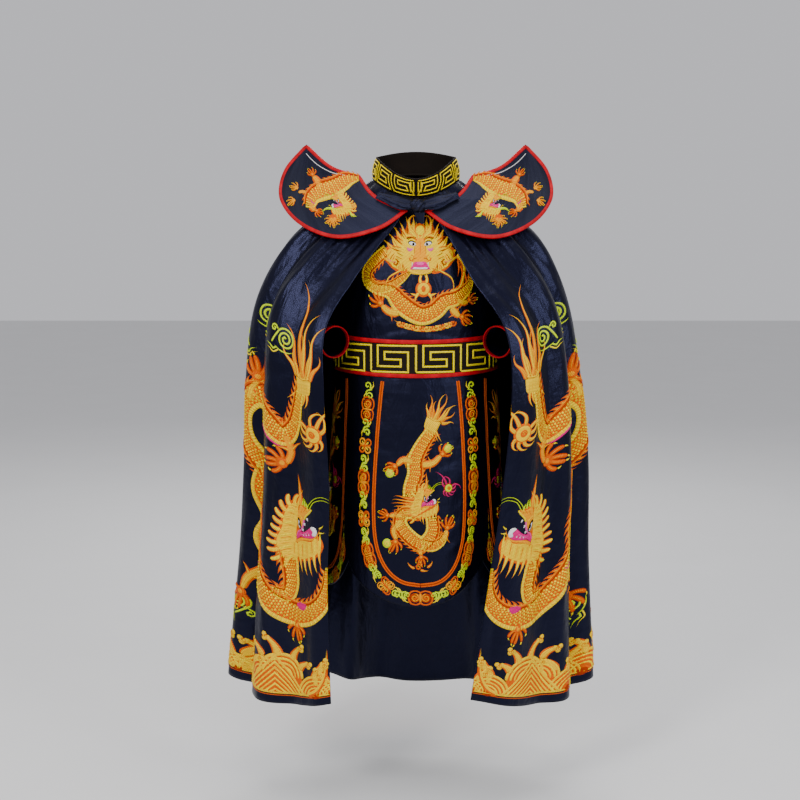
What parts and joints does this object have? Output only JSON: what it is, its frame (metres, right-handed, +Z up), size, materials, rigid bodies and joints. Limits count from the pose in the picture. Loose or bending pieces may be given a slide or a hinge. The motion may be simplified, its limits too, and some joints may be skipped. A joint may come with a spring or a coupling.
{
  "type": "chinese opera robe",
  "caption": "Worn stage robe: an open floor-sweeping cape with stand collar and wings over a sleeved bodice, wide belt and round-ended skirt panels",
  "frame": {"origin": "middle of the base of the neck, where the robe hangs from the wearer", "axes": "+Z up, +X to the right of someone who looks at the front, the front faces -Y"},
  "size_m": [0.9449, 0.4907, 1.4533],
  "materials": {
    "cape_satin": "black satin with a navy sheen",
    "bodice_satin": "black satin",
    "skirt_satin": "black satin",
    "wing_satin": "stiffened black satin",
    "collar_velvet": "black velvet",
    "belt_velvet": "black velvet",
    "red_binding": "red satin binding",
    "gold_thread": "satin-stitch embroidery in yellow, orange and pink thread"
  },
  "bodies": {
    "root": {"cape_back": "cape_satin", "cape_front_right": "cape_satin", "cape_front_left": "cape_satin", "collar_stand": "collar_velvet", "belt": "belt_velvet", "wing_right": "wing_satin", "wing_left": "wing_satin", "wing_binding_right": "red_binding", "wing_binding_left": "red_binding", "cuff_binding_right": "red_binding", "cuff_binding_left": "red_binding", "belt_binding_top": "red_binding", "belt_binding_low": "red_binding", "tie_band_right": "cape_satin", "tie_band_left": "cape_satin", "tie_knot": "cape_satin", "tie_tail": "cape_satin", "bodice_front": "bodice_satin", "bodice_back": "bodice_satin", "sleeve_right": "bodice_satin", "sleeve_left": "bodice_satin", "skirt_front": "skirt_satin", "skirt_right": "skirt_satin", "skirt_left": "skirt_satin"}
  },
  "joints": []
}
